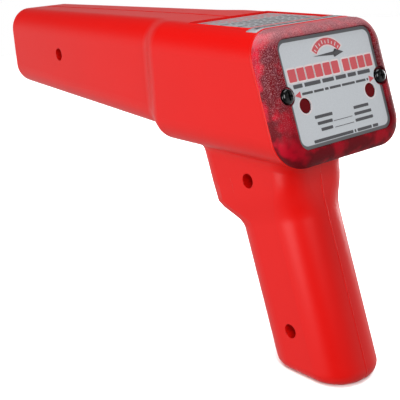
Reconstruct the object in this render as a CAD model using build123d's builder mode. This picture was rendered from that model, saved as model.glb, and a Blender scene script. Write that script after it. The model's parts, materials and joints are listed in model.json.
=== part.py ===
from build123d import *
import math
import os

os.makedirs("parts", exist_ok=True)

# A self-powered timing light. X runs forward to the muzzle, Y to the left and Z up. The origin is the
# mouth of the pickup socket, in the middle of the grip's flat base. The rear face and the grip lean by
# the same angle, so both are laid out in one leaning frame: "depth" is measured forward from the rear
# label's face, and "drop" down the lean from the label's centre. Sizes are in millimetres.

# Overall sizes
lean = 17.0  # degrees between the grip and the vertical
grip_drop = 138.0  # grip base below the label's centre
muzzle_reach = 242.0  # muzzle face ahead of the label's centre
wall = 2.5  # housing wall

# Body and barrel sections
body_half_width = 37.0
shoulder_half_width = 36.5
barrel_half_width = 31.4
muzzle_half_width = 25.0
rear_top = 25.8
rear_bottom = -31.5
shoulder_reach = 82.0
shoulder_top = 28.0
shoulder_bottom = -29.6
barrel_reach = 97.0
barrel_top = 28.3
barrel_bottom = -25.4
muzzle_top = 29.5
muzzle_bottom = -16.0
body_corner = 13.0
muzzle_corner = 12.5

# Grip sections, as depths in the leaning frame
grip_rear = 22.9
grip_front = 72.2
grip_half_width = 18.0
grip_corner = 16.5
trigger_block_front = 82.5
trigger_block_half_width = 20.0
trigger_block_corner = 12.0
block_margin = 2.4  # block below the lower trigger's flange
neck_sweep = 5.0  # grip's rear flares back this far as it meets the body
neck_sweep_start = 14.0
neck_sweep_length = 36.0
throat_length = 17.0
easing_steps = 4
block_steps = 8
base_round = 6.0
neck_round = 7.0

# Rear cover
seam_depth = 7.5
rim_height = 1.5  # rim's crest behind the label's face
cover_round = 6.0
cover_web = 2.5
cover_post_gap = 0.1  # between the cover's posts and the housing's bosses
lip_gap = 0.3
lip_wall = 1.5
lip_length = 4.0
lip_relief = 4.0  # the lip stops this far from the housing's bosses
gasket_thickness = 1.0
gasket_inset = 1.3
label_width = 59.0
label_height = 47.0
label_corner = 5.0
label_gap = 0.3
label_thickness = 0.35
indicator_spread = 20.8
indicator_drop = 5.3
indicator_radius = 3.1
indicator_gap = 0.2

# Fasteners
cover_screw_spread = 29.6
cover_screw_radius = 1.75
cover_screw_head = 3.45
cover_screw_head_height = 2.3
cover_screw_length = 12.0
cover_screw_seat = 0.6
pocket_gap = 0.85
insert_radius = 2.8
insert_length = 5.0
insert_setback = 0.5
cover_boss = 4.5
housing_screw_radius = 1.5
housing_screw_head = 2.9
housing_screw_head_height = 2.2
housing_screw_length = 18.0
screw_seat = 9.0  # head seat left of the centre plane
counterbore = 3.5
housing_boss = 5.0
hole_gap = 0.2
thread_gap = 0.02
barrel_screw_reach = 185.0
barrel_screw_rise = 6.0
upper_screw_depth = 49.0
upper_screw_drop = 32.0
lower_screw_depth = 48.0
lower_screw_rise = 23.8  # above the grip's base, up the lean

# Triggers
trigger_width = 12.0
trigger_height = 10.2
trigger_reach = 7.0
trigger_flange = 0.9
trigger_flange_thickness = 2.0
trigger_flange_side = 2.0
trigger_gap = 0.2
trigger_spacing = 1.0  # between the two flanges
upper_trigger_drop = 16.2
finger_radius = 14.0
finger_hollow = 1.2
bracket_depth = 64.0
bracket_thickness = 2.0
bracket_half_width = 15.0
bracket_over = 0.6  # bracket above the upper trigger
bracket_under = 2.7  # bracket below the lower trigger
bracket_slot = 1.5  # bracket's edge held in its slots
rod_radius = 1.3
rod_gap = 0.2
rod_entry = 1.6
switch_length = 8.5
switch_width = 10.0
switch_height = 9.2
switch_bore_depth = 7.0
terminal_setback = 4.5
terminal_length = 2.6
spring_wire = 0.35
spring_radius = 3.4
spring_turns = 5

# Battery tray
cell_radius = 7.25
cell_length = 49.5
nub_radius = 2.75
nub_length = 1.0
cell_spacing = 0.7
cell_gap = 0.2
tray_centre = -2.5
tray_reach = 17.5
tray_end = 2.0
tray_side = 1.5
tray_rib = 3.0
wire_channel = 13.5
guide_gap = 0.3
guide_thickness = 2.0
contact_thickness = 0.6
battery_spring_length = 4.4
battery_spring_wire = 0.4
battery_spring_radius = 3.6
end_gap = 0.05

# Electronics in the barrel
board_reach = 102.0
board_length = 94.0
board_half_width = 21.0
board_thickness = 1.6
board_level = -9.0
slot_gap = 0.15
ledge = 2.0
ledge_grip = 1.2
bulkhead = 2.0
core_reach = 17.0  # transformer's middle along the board
core_length = 24.0
core_width = 6.0
core_height = 20.0
core_window = 5.0
core_window_height = 12.0
core_window_offset = 6.0
winding_length = 16.6
winding_width = 15.0
winding_gap = 0.1
winding_round = 2.2
capacitor_reach = 36.0
capacitor_side = 9.5
capacitor_radius = 9.0
capacitor_length = 34.0
capacitor_groove = 4.0
coil_reach = 64.0
coil_side = -13.0
coil_radius = 4.0
coil_flange = 5.0
coil_flange_thickness = 1.2
coil_length = 12.0
sink_reach = 50.0
sink_side = -9.0
sink_length = 26.0
sink_height = 18.0
sink_thickness = 2.0
sink_fin = 7.0
transistor_width = 10.0
transistor_thickness = 4.4
transistor_height = 9.0
transistor_tab = 1.3
transistor_tab_height = 14.0
transistor_rise = 3.0
board_gap = 0.02  # under round parts that lie on the board

# Optics at the muzzle
holder_setback = 45.0
bezel_setback = 0.5
bezel_length = 7.0
bezel_gap = 0.15
bezel_bead = 0.7
bezel_bead_length = 2.0
bezel_lip = 2.0
lens_radius = 18.5
lens_gap = 0.2
lens_dome = 1.8
lens_window = 17.0
seal_thickness = 1.2
reflector_rim = 19.5
reflector_depth = 26.0
reflector_wall = 1.2
reflector_neck = 4.5
tube_radius = 2.5
tube_length = 28.0
holder_radius = 8.0
holder_length = 9.0

# Pickup socket
socket_radius = 6.0
socket_bore = 3.25
socket_bore_depth = 12.0
socket_length = 17.0
socket_flange = 8.0
socket_flange_thickness = 1.6
socket_gap = 0.15
base_wall = 4.0
nut_flats = 15.0
nut_thickness = 3.0
collar_height = 1.5
lead_radius = 0.9

# Sizes that follow from those
cell_pitch = 2 * cell_radius + cell_spacing
tray_bay = cell_length + nub_length + contact_thickness + battery_spring_length
trigger_pitch = trigger_height + 2 * trigger_flange + trigger_spacing
lens_edge = bezel_length - bezel_lip - seal_thickness
lower_trigger_drop = upper_trigger_drop + trigger_pitch
block_drop = lower_trigger_drop + trigger_height / 2 + trigger_flange + block_margin

# The leaning frame: its X is depth, its Y is left, and its Z points up the grip.
sine = math.sin(math.radians(lean))
cosine = math.cos(math.radians(lean))
grip_middle = (grip_rear + grip_front) / 2
base_along = (grip_drop - grip_middle * sine) / cosine
label_x = base_along * sine - grip_middle * cosine
label_z = grip_drop
leaning = Plane(origin=(label_x, 0, label_z), x_dir=(cosine, 0, -sine), z_dir=(sine, 0, cosine))
rear_facing = Plane(origin=(label_x, 0, label_z), x_dir=(0, -1, 0), z_dir=(-cosine, 0, sine))
muzzle_x = label_x + muzzle_reach


def at(depth, side, drop):
    """A place in the leaning frame, with the same lean."""
    return leaning.location * Location((depth, side, -drop))


def ahead(reach, side=0, rise=0):
    """A level place, reached forward, left and up from the label's centre."""
    return Location((label_x + reach, side, label_z + rise))


def facing_rear(depth):
    """A plane parallel to the rear face; its local X runs right and its local Y up the face."""
    return rear_facing.offset(-depth)


def blended(low, high, share):
    """A value that eases from low to high as share goes from 0 to 1."""
    eased = share * share * (3 - 2 * share)
    return low + (high - low) * eased


# A cross-section is (reach, half width, top, bottom, corner radius).
rear_section = (-24.0, body_half_width, rear_top, rear_bottom, body_corner)
shoulder_section = (shoulder_reach, shoulder_half_width, shoulder_top, shoulder_bottom, body_corner)
barrel_section = (barrel_reach, barrel_half_width, barrel_top, barrel_bottom, body_corner)
muzzle_section = (muzzle_reach, muzzle_half_width, muzzle_top, muzzle_bottom, muzzle_corner)
shoulder_sections = []
for count in range(easing_steps + 1):
    share = count / easing_steps
    shoulder_sections.append([
        shoulder_section[0] + (barrel_section[0] - shoulder_section[0]) * share,
        *[blended(low, high, share) for low, high in zip(shoulder_section[1:], barrel_section[1:])],
    ])

# A grip section is (drop, rear depth, front depth, half width, corner radius). The front and sides are
# straight down the trigger block and ease in to the grip below it, and the rear flares towards the body.
block_top = 2.0
block_section = (trigger_block_front, trigger_block_half_width, trigger_block_corner)
throat_section = (grip_front, grip_half_width, grip_corner)
block_drops = [block_top + (block_drop - block_top) * count / block_steps for count in range(block_steps)]
throat_drops = [block_drop + throat_length * count / easing_steps for count in range(easing_steps + 1)]


def grip_section(drop):
    """The grip's section at a drop."""
    flare = min(max((drop - neck_sweep_start) / neck_sweep_length, 0), 1)
    share = max((drop - block_drop) / throat_length, 0)
    rear = grip_rear - blended(neck_sweep, 0, flare)
    return (drop, rear, *[blended(low, high, share) for low, high in zip(block_section, throat_section)])


grip_sections = [grip_section(drop) for drop in block_drops + throat_drops]


def barrel_sketches(sections, inset):
    """Upright rounded rectangles, drawn in by inset."""
    drawn = []
    for reach, half_width, top, bottom, corner in sections:
        with BuildSketch(Plane.YZ.offset(label_x + reach)) as section:
            with Locations((0, label_z + (top + bottom) / 2)):
                RectangleRounded(2 * (half_width - inset), top - bottom - 2 * inset, corner - inset)
        drawn.append(section.sketch)
    return drawn


def grip_sketch(section, inset):
    """A rounded rectangle square to the grip, drawn in by inset."""
    drop, rear, front, half_width, corner = section
    with BuildSketch(leaning.offset(-drop)) as drawn:
        with Locations(((rear + front) / 2, 0)):
            RectangleRounded(front - rear - 2 * inset, 2 * (half_width - inset), corner - inset)
    return drawn.sketch


def rear_form(inset, mode=Mode.ADD):
    """The box of the body, from behind the cover to the shoulder."""
    loft(barrel_sketches([rear_section, shoulder_section], inset), ruled=True, mode=mode)


def body_form(inset, mode=Mode.ADD):
    """The body with the shoulder and the barrel in front of it."""
    rear_form(inset, mode)
    loft(barrel_sketches(shoulder_sections, inset), mode=mode)
    loft(barrel_sketches([barrel_section, muzzle_section], inset), mode=mode)


def grip_form(inset):
    """The trigger block up into the body, the throat below it and the straight grip, past the base."""
    below_base = 20.0
    loft([grip_sketch(section, inset) for section in grip_sections])
    extrude(grip_sketch(grip_sections[-1], inset), amount=grip_sections[-1][0] - base_along - below_base)


def finish(built, name):
    """Label a finished piece and write it."""
    built.part.label = name
    export_step(built.part, f"parts/{name}.step")


# Outer form of the closed housing
with BuildPart() as outer:
    body_form(0)
    split(bisect_by=facing_rear(seam_depth), keep=Keep.BOTTOM)
    grip_form(0)
    split(bisect_by=Plane.XY, keep=Keep.TOP)
    fillet(outer.faces().sort_by(Axis.Z)[0].edges(), radius=base_round)
    low = label_z + min(rear_bottom, shoulder_bottom) - 1
    high = label_z + max(rear_bottom, shoulder_bottom) + 1
    neck = outer.edges().filter_by_position(Axis.Z, low, high)
    neck = neck.filter_by_position(Axis.Y, -trigger_block_half_width - 0.1, trigger_block_half_width + 0.1)
    neck = neck.filter_by_position(Axis.X, label_x + (grip_rear - neck_sweep) / 2, label_x + shoulder_reach - 0.5)
    fillet(neck, radius=neck_round)

# The space inside it, closed below by the grip's base
with BuildPart() as room:
    body_form(wall)
    grip_form(wall)
    split(bisect_by=Plane.XY.offset(base_wall), keep=Keep.TOP)

# Label recess in the body's top, which slopes gently down to the rear
top_slope = math.degrees(math.atan((shoulder_top - rear_top) / (shoulder_reach - rear_section[0])))
recess_start = 24.0
recess_end = 66.0
recess_half_width = 26.0
recess_depth = 1.2
recess_middle = (recess_start + recess_end) / 2
recess_top = rear_top + (recess_middle - rear_section[0]) * math.tan(math.radians(top_slope))
top_face = Plane(
    origin=(label_x + recess_middle, 0, label_z + recess_top),
    x_dir=(math.cos(math.radians(top_slope)), 0, math.sin(math.radians(top_slope))),
    z_dir=(-math.sin(math.radians(top_slope)), 0, math.cos(math.radians(top_slope))),
)

# Ribs, ledges and bosses inside the housing, trimmed to its outer form
tray_half_width = cell_pitch + cell_radius + cell_gap + tray_side
tray_half_height = tray_half_width
tray_length = tray_bay + 2 * tray_end
tray_front = tray_reach + tray_length
guide_start = tray_reach + tray_end
guide_length = shoulder_reach - guide_start - 1
slot_bottom = board_level - slot_gap
slot_top = board_level + board_thickness + slot_gap
holder_reach = muzzle_reach - holder_setback
bulkhead_height = 60.0
holder_bulkhead = holder_reach + 3.0
reflector_seat = muzzle_reach - bezel_setback - bezel_length - 1.0
reflector_bulkhead = reflector_seat - 1.2
screw_places = [
    ahead(barrel_screw_reach, 0, barrel_screw_rise),
    at(upper_screw_depth, 0, upper_screw_drop),
    at(lower_screw_depth, 0, base_along - lower_screw_rise),
]
sideways = Location((0, 0, 0), (-90, 0, 0))
forward = Location((0, 0, 0), (0, 90, 0))
backward = Location((0, 0, 0), (0, -90, 0))
cover_places = []
for side in (-cover_screw_spread, cover_screw_spread):
    cover_places.append(facing_rear(0).location * Location((side, 0, 0)))
boss_length = insert_length + 1.0
boss_end = seam_depth + boss_length
bracket_top = upper_trigger_drop - trigger_height / 2 - bracket_over
bracket_bottom = lower_trigger_drop + trigger_height / 2 + bracket_under
bracket_height = bracket_bottom - bracket_top
bracket_rib = 3.0
bracket_rib_gap = 0.5
with BuildPart() as fittings:
    # screw bosses from wall to wall
    for place in screw_places:
        with Locations(place * sideways):
            Cylinder(housing_boss, 2 * body_half_width)
    # bosses for the cover's inserts, webbed to the side walls
    for side in (-1, 1):
        outward = Align.MIN if side > 0 else Align.MAX
        with Locations(at(seam_depth, side * cover_screw_spread, 0) * forward):
            Cylinder(cover_boss, boss_length, align=(Align.CENTER, Align.CENTER, Align.MIN))
        with Locations(at(seam_depth, side * cover_screw_spread, 0)):
            Box(
                boss_length,
                body_half_width - cover_screw_spread + 1,
                2 * cover_boss,
                align=(Align.MIN, outward, Align.CENTER),
            )
    # guides beside and below the battery tray
    guide_rise = tray_centre - tray_half_height / 2
    foot_height = tray_centre - tray_half_height - guide_gap - rear_bottom
    for side in (-1, 1):
        outward = Align.MIN if side > 0 else Align.MAX
        with Locations(ahead(guide_start, side * (tray_half_width + guide_gap), guide_rise)):
            Box(guide_length, body_half_width, guide_thickness, align=(Align.MIN, outward, Align.CENTER))
        with Locations(ahead(guide_start, side * (tray_half_width - guide_thickness), rear_bottom)):
            Box(guide_length, 1.5 * guide_thickness, foot_height, align=(Align.MIN, Align.CENTER, Align.MIN))
    # slots for the circuit board
    for side in (-1, 1):
        outward = Align.MIN if side > 0 else Align.MAX
        for level, up in ((slot_bottom, Align.MAX), (slot_top, Align.MIN)):
            with Locations(ahead(board_reach + 1, side * (board_half_width - ledge_grip), level)):
                Box(board_length - 2, body_half_width, ledge, align=(Align.MIN, outward, up))
    # bulkheads that hold the flash tube's holder and the reflector
    for reach in (holder_bulkhead, reflector_bulkhead):
        with Locations(ahead(reach, 0, (muzzle_top + muzzle_bottom) / 2)):
            Box(bulkhead, 2 * body_half_width, bulkhead_height)
    # slots for the switch bracket, a rib behind each edge and one in front
    rib_drop = (bracket_top + bracket_bottom + bracket_rib_gap) / 2
    rib_height = bracket_height + bracket_rib_gap
    for side in (-1, 1):
        outward = Align.MIN if side > 0 else Align.MAX
        rib_side = side * (bracket_half_width - bracket_slot)
        with Locations(at(bracket_depth - slot_gap, rib_side, rib_drop)):
            Box(
                bracket_rib - slot_gap,
                trigger_block_half_width - wall / 2,
                rib_height,
                align=(Align.MAX, outward, Align.CENTER),
            )
        with Locations(at(bracket_depth + bracket_thickness + slot_gap, rib_side, rib_drop)):
            Box(
                bracket_rib - slot_gap,
                trigger_block_half_width - wall / 2,
                rib_height,
                align=(Align.MIN, outward, Align.CENTER),
            )
    # collar round the pickup socket
    with Locations((0, 0, base_wall)):
        Cylinder(socket_flange + 2, 2 * collar_height)
    add(outer.part, mode=Mode.INTERSECT)

optics_height = label_z + (muzzle_top + muzzle_bottom) / 2
optics = Plane(origin=(muzzle_x, 0, optics_height), x_dir=(0, 1, 0), z_dir=(1, 0, 0))


def lamp_place(reach):
    """A place on the lamp's axis whose own Z points forward."""
    return Location((label_x + reach, 0, optics_height), (0, 90, 0))


bead_half_width = muzzle_half_width - wall - bezel_gap + bezel_bead
bead_half_height = (muzzle_top - muzzle_bottom) / 2 - wall - bezel_gap + bezel_bead
bezel_back = -bezel_setback - bezel_length

# Both halves of the housing as one closed shell
with BuildPart() as shell:
    add(outer.part)
    add(room.part, mode=Mode.SUBTRACT)
    add(fittings.part)
    # seat for the rear cover's gasket
    with BuildPart(mode=Mode.PRIVATE) as gasket_seat:
        rear_form(gasket_inset)
        split(bisect_by=facing_rear(seam_depth + gasket_thickness), keep=Keep.TOP)
    add(gasket_seat.part, mode=Mode.SUBTRACT)
    # groove for the lens bezel's bead
    with BuildSketch(optics.offset(bezel_back - 0.1)):
        RectangleRounded(2 * bead_half_width + 0.3, 2 * bead_half_height + 0.3, muzzle_corner - wall)
    extrude(amount=bezel_bead_length + 0.2, mode=Mode.SUBTRACT)
    # openings in the bulkheads
    with Locations(lamp_place(holder_bulkhead)):
        Cylinder(holder_radius + hole_gap, 2 * bulkhead, mode=Mode.SUBTRACT)
    with Locations(lamp_place(reflector_bulkhead)):
        Cylinder(reflector_rim - 1.2, 2 * bulkhead, mode=Mode.SUBTRACT)
    # label recess
    with Locations(top_face.location):
        Box(recess_end - recess_start, 2 * recess_half_width, 2 * recess_depth, mode=Mode.SUBTRACT)
    # trigger windows
    for drop in (upper_trigger_drop, lower_trigger_drop):
        with Locations(at(trigger_block_front, 0, drop)):
            Box(12, trigger_width + 2 * trigger_gap, trigger_height + 2 * trigger_gap, mode=Mode.SUBTRACT)
    # holes for the cover's inserts
    for place in cover_places:
        with Locations(place * Location((0, 0, -boss_end / 2))):
            Cylinder(insert_radius + thread_gap, boss_end + 2, mode=Mode.SUBTRACT)
    # hole and flange seat for the pickup socket
    Cylinder(socket_radius + socket_gap, 20, mode=Mode.SUBTRACT)
    Cylinder(socket_flange + socket_gap, 2 * (socket_flange_thickness + 0.1), mode=Mode.SUBTRACT)

with BuildPart() as left_housing:
    add(shell.part)
    split(bisect_by=Plane.XZ, keep=Keep.BOTTOM)
    for place in screw_places:
        with Locations(place * Location((0, screw_seat, 0)) * sideways):
            Cylinder(counterbore, 40, align=(Align.CENTER, Align.CENTER, Align.MIN), mode=Mode.SUBTRACT)
        with Locations(place * sideways):
            Cylinder(housing_screw_radius + hole_gap, 40, mode=Mode.SUBTRACT)
finish(left_housing, "left_housing")

with BuildPart() as right_housing:
    add(shell.part)
    split(bisect_by=Plane.XZ, keep=Keep.TOP)
    for place in screw_places:
        with Locations(place * sideways):
            Cylinder(
                housing_screw_radius + thread_gap,
                housing_screw_length - screw_seat + 1.5,
                align=(Align.CENTER, Align.CENTER, Align.MAX),
                mode=Mode.SUBTRACT,
            )
finish(right_housing, "right_housing")

# Rear cover: a rounded cap with a sunk label face, a lip inside the housing and two screw bosses
recess_radius = label_corner + label_gap
with BuildPart() as rear_cover:
    rear_form(0)
    split(bisect_by=facing_rear(-rim_height), keep=Keep.BOTTOM)
    split(bisect_by=facing_rear(seam_depth), keep=Keep.TOP)
    rim = rear_cover.faces().sort_by(Axis(origin=(0, 0, 0), direction=(-cosine, 0, sine)))[-1]
    fillet(rim.edges(), radius=cover_round)
    with BuildPart(mode=Mode.PRIVATE) as lip:
        rear_form(wall + lip_gap)
        rear_form(wall + lip_gap + lip_wall, mode=Mode.SUBTRACT)
        split(bisect_by=facing_rear(seam_depth - 1), keep=Keep.BOTTOM)
        split(bisect_by=facing_rear(seam_depth + lip_length), keep=Keep.TOP)
        for place in cover_places:
            with Locations(place * Location((0, 0, -seam_depth))):
                Cylinder(
                    cover_boss + lip_relief,
                    2 * lip_length + seam_depth,
                    align=(Align.CENTER, Align.CENTER, Align.MAX),
                    mode=Mode.SUBTRACT,
                )
    with BuildPart(mode=Mode.PRIVATE) as hollow:
        rear_form(wall + lip_gap + lip_wall)
        split(bisect_by=facing_rear(cover_web), keep=Keep.BOTTOM)
        split(bisect_by=facing_rear(seam_depth + 1), keep=Keep.TOP)
    add(hollow.part, mode=Mode.SUBTRACT)
    add(lip.part)
    for place in cover_places:
        with Locations(place * Location((0, 0, -cover_web))):
            Cylinder(
                cover_boss - 0.5,
                seam_depth - cover_web - cover_post_gap,
                align=(Align.CENTER, Align.CENTER, Align.MAX),
            )
    with BuildSketch(facing_rear(0)):
        RectangleRounded(label_width + 2 * label_gap, label_height + 2 * label_gap, recess_radius)
    extrude(amount=10, mode=Mode.SUBTRACT)
    for place in cover_places:
        with Locations(place * Location((0, 0, -cover_screw_seat))):
            Cylinder(
                cover_screw_head + pocket_gap,
                10,
                align=(Align.CENTER, Align.CENTER, Align.MIN),
                mode=Mode.SUBTRACT,
            )
            Cylinder(cover_screw_radius + hole_gap, 40, mode=Mode.SUBTRACT)
    with BuildSketch(facing_rear(0)):
        with Locations((-indicator_spread, -indicator_drop), (indicator_spread, -indicator_drop)):
            Circle(indicator_radius + indicator_gap)
    extrude(amount=-10, mode=Mode.SUBTRACT)
finish(rear_cover, "rear_cover")

with BuildPart() as rear_cover_gasket:
    rear_form(gasket_inset + 0.1)
    rear_form(wall, mode=Mode.SUBTRACT)
    split(bisect_by=facing_rear(seam_depth), keep=Keep.BOTTOM)
    split(bisect_by=facing_rear(seam_depth + gasket_thickness), keep=Keep.TOP)
    for place in cover_places:
        with Locations(place):
            Cylinder(cover_boss + 0.1, 60, mode=Mode.SUBTRACT)
finish(rear_cover_gasket, "rear_cover_gasket")

with BuildPart() as rear_label:
    with BuildSketch(facing_rear(0)):
        RectangleRounded(label_width, label_height, label_corner)
        with Locations((-indicator_spread, -indicator_drop), (indicator_spread, -indicator_drop)):
            Circle(indicator_radius + indicator_gap, mode=Mode.SUBTRACT)
        with Locations((-cover_screw_spread, 0), (cover_screw_spread, 0)):
            Circle(cover_screw_head + pocket_gap, mode=Mode.SUBTRACT)
    extrude(amount=label_thickness)
finish(rear_label, "rear_label")


def cross_recess(half_length, half_width, depth):
    """The tapering cross of a screw head, cut down from the local origin."""
    for turn in (0, 90):
        with BuildSketch(Plane.XY.rotated((0, 0, turn))) as slot:
            Rectangle(2 * half_length, 2 * half_width)
        with BuildSketch(Plane.XY.offset(-depth).rotated((0, 0, turn))) as tip:
            Rectangle(half_length, half_width)
        loft([slot.sketch, tip.sketch])


def pan_screw(head_radius, head_height, shank_radius, shank_length):
    """A cross-recess pan-head screw along local Z, its head's seat at zero and its point down."""
    with BuildPart(mode=Mode.PRIVATE) as drive:
        cross_recess(head_radius * 0.55, head_radius * 0.13, head_height * 0.6)
    with BuildPart(mode=Mode.PRIVATE) as screw:
        Cylinder(head_radius, head_height, align=(Align.CENTER, Align.CENTER, Align.MIN))
        fillet(screw.faces().sort_by(Axis.Z)[-1].edges(), radius=head_height * 0.75)
        Cylinder(shank_radius, shank_length, align=(Align.CENTER, Align.CENTER, Align.MAX))
        chamfer(screw.faces().sort_by(Axis.Z)[0].edges(), length=shank_radius * 0.5)
        with Locations((0, 0, head_height)):
            add(drive.part, mode=Mode.SUBTRACT)
    return screw.part


cover_screw = pan_screw(cover_screw_head, cover_screw_head_height, cover_screw_radius, cover_screw_length)
with BuildPart() as rear_cover_screws:
    for place in cover_places:
        with Locations(place * Location((0, 0, -cover_screw_seat))):
            add(cover_screw)
finish(rear_cover_screws, "rear_cover_screws")

housing_screw = pan_screw(
    housing_screw_head, housing_screw_head_height, housing_screw_radius, housing_screw_length
)
with BuildPart() as housing_screws:
    for place in screw_places:
        with Locations(place * Location((0, screw_seat, 0)) * sideways):
            add(housing_screw)
finish(housing_screws, "housing_screws")

with BuildPart() as cover_inserts:
    for place in cover_places:
        with Locations(place * Location((0, 0, -seam_depth - insert_setback))):
            Cylinder(insert_radius, insert_length, align=(Align.CENTER, Align.CENTER, Align.MAX))
        with Locations(place):
            Cylinder(cover_screw_radius + thread_gap, 60, mode=Mode.SUBTRACT)
finish(cover_inserts, "cover_inserts")

# Labels on the top
with BuildPart() as top_label:
    with BuildSketch(top_face.offset(-recess_depth)):
        RectangleRounded(recess_end - recess_start - 1, 2 * recess_half_width - 1, 1.5)
    extrude(amount=label_thickness)
finish(top_label, "top_label")

strip_length = 50.0
strip_width = 6.0
strip_start = 17.0
with BuildPart() as strip_label:
    with BuildSketch(top_face):
        with Locations((strip_start + strip_width / 2 - recess_middle, 0)):
            RectangleRounded(strip_width, strip_length, 0.8)
    extrude(amount=label_thickness - 0.05)
finish(strip_label, "strip_label")

# Indicator lamps and the board that carries them
indicator_board_depth = 5.0
indicator_board_thickness = 1.2
for side, name in ((-1, "left_indicator"), (1, "right_indicator")):
    with BuildPart() as indicator:
        with BuildSketch(facing_rear(indicator_board_depth)):
            with Locations((side * indicator_spread, -indicator_drop)):
                Circle(indicator_radius)
        extrude(amount=indicator_board_depth + label_thickness)
        crown = indicator.edges().sort_by(Axis(origin=(0, 0, 0), direction=(-cosine, 0, sine)))[-1]
        fillet(crown, radius=0.6)
    finish(indicator, name)

with BuildPart() as indicator_board:
    with BuildSketch(facing_rear(indicator_board_depth)):
        with Locations((0, -indicator_drop)):
            RectangleRounded(2 * indicator_spread + 8, 14, 1.5)
    extrude(amount=-indicator_board_thickness)
finish(indicator_board, "indicator_board")

# Batteries: a three by three grid without its lower middle cell
columns = (-1, 0, 1)
rows = (1, 0, -1)
cell_places = [(column, row) for row in rows for column in columns if (column, row) != (0, -1)]
bay_start = tray_reach + tray_end


def cell_origin(column, row, reach=0.0):
    """Where a cell's axis stands, reached forward from the start of the bay."""
    return ahead(bay_start + reach, column * cell_pitch, tray_centre + row * cell_pitch)


def faces_rear(column, row):
    """Neighbouring cells lie head to tail."""
    return (column + row) % 2 == 0


for chosen, name in ((cell_places[:4], "normal_batteries"), (cell_places[4:], "reserve_batteries")):
    with BuildPart() as batteries:
        for column, row in chosen:
            if faces_rear(column, row):
                foot = cell_origin(column, row, contact_thickness + nub_length + cell_length)
                turn = backward
            else:
                foot = cell_origin(column, row, tray_bay - contact_thickness - nub_length - cell_length)
                turn = forward
            with Locations(foot * turn):
                Cylinder(cell_radius, cell_length, align=(Align.CENTER, Align.CENTER, Align.MIN))
                Cylinder(nub_radius, cell_length + nub_length, align=(Align.CENTER, Align.CENTER, Align.MIN))
    finish(batteries, name)

with BuildPart() as battery_tray:
    for reach, length in (
        (tray_reach, tray_end),
        (bay_start + tray_bay / 4, tray_rib),
        (bay_start + tray_bay * 3 / 4 - tray_rib, tray_rib),
        (bay_start + tray_bay, tray_end),
    ):
        with Locations(ahead(reach, 0, tray_centre)):
            Box(
                length,
                2 * tray_half_width,
                2 * tray_half_height,
                align=(Align.MIN, Align.CENTER, Align.CENTER),
            )
    for column, row in cell_places:
        with Locations(cell_origin(column, row) * forward):
            Cylinder(
                cell_radius + cell_gap,
                tray_bay,
                align=(Align.CENTER, Align.CENTER, Align.MIN),
                mode=Mode.SUBTRACT,
            )
    rail_rise = tray_half_height - tray_rib / 2
    for side in (-1, 1):
        inward = Align.MAX if side > 0 else Align.MIN
        for level in (-1, 0, 1):
            with Locations(ahead(tray_reach, side * tray_half_width, tray_centre + level * rail_rise)):
                Box(tray_length, 0.8 * tray_side, tray_rib, align=(Align.MIN, inward, Align.CENTER))
    # the wires' way through the place of the missing cell
    with Locations(ahead(tray_reach, 0, tray_centre - cell_radius - cell_gap - tray_side)):
        Box(
            2 * tray_length,
            wire_channel,
            2 * tray_half_height,
            align=(Align.CENTER, Align.CENTER, Align.MAX),
            mode=Mode.SUBTRACT,
        )
finish(battery_tray, "battery_tray")

with BuildPart() as battery_contacts:
    for column, row in cell_places:
        near = faces_rear(column, row)
        with Locations(cell_origin(column, row, 0 if near else tray_bay - contact_thickness) * forward):
            Cylinder(
                cell_radius - 1,
                contact_thickness,
                align=(Align.CENTER, Align.CENTER, Align.MIN),
            )
finish(battery_contacts, "battery_contacts")


def coil(radius, wire, height, turns):
    """A helical spring along local Z, from zero to height."""
    rise = height - 2 * wire
    with BuildPart(mode=Mode.PRIVATE) as wound:
        with BuildLine(Plane.XY.offset(wire)) as path:
            Helix(pitch=rise / turns, height=rise, radius=radius)
        start = path.wire() @ 0
        with BuildSketch(Plane(origin=start, z_dir=path.wire() % 0)) as section:
            Circle(wire)
        sweep(section.sketch, path=path.wire(), is_frenet=True)
    return wound.part


battery_spring = coil(battery_spring_radius, battery_spring_wire, battery_spring_length - 2 * end_gap, 3)
with BuildPart() as battery_springs:
    for column, row in cell_places:
        reach = tray_bay - battery_spring_length if faces_rear(column, row) else 0.0
        with Locations(cell_origin(column, row, reach + end_gap) * forward):
            add(battery_spring)
finish(battery_springs, "battery_springs")

# Triggers, with their push rods, springs and switches
window_face = trigger_block_front - wall - trigger_gap
flange_back = window_face - trigger_flange_thickness
rod_tip = bracket_depth - rod_entry


def axis_at(depth, drop):
    """A place in the leaning frame whose own Z points forward along the trigger's stroke."""
    return at(depth, 0, drop) * forward


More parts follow.
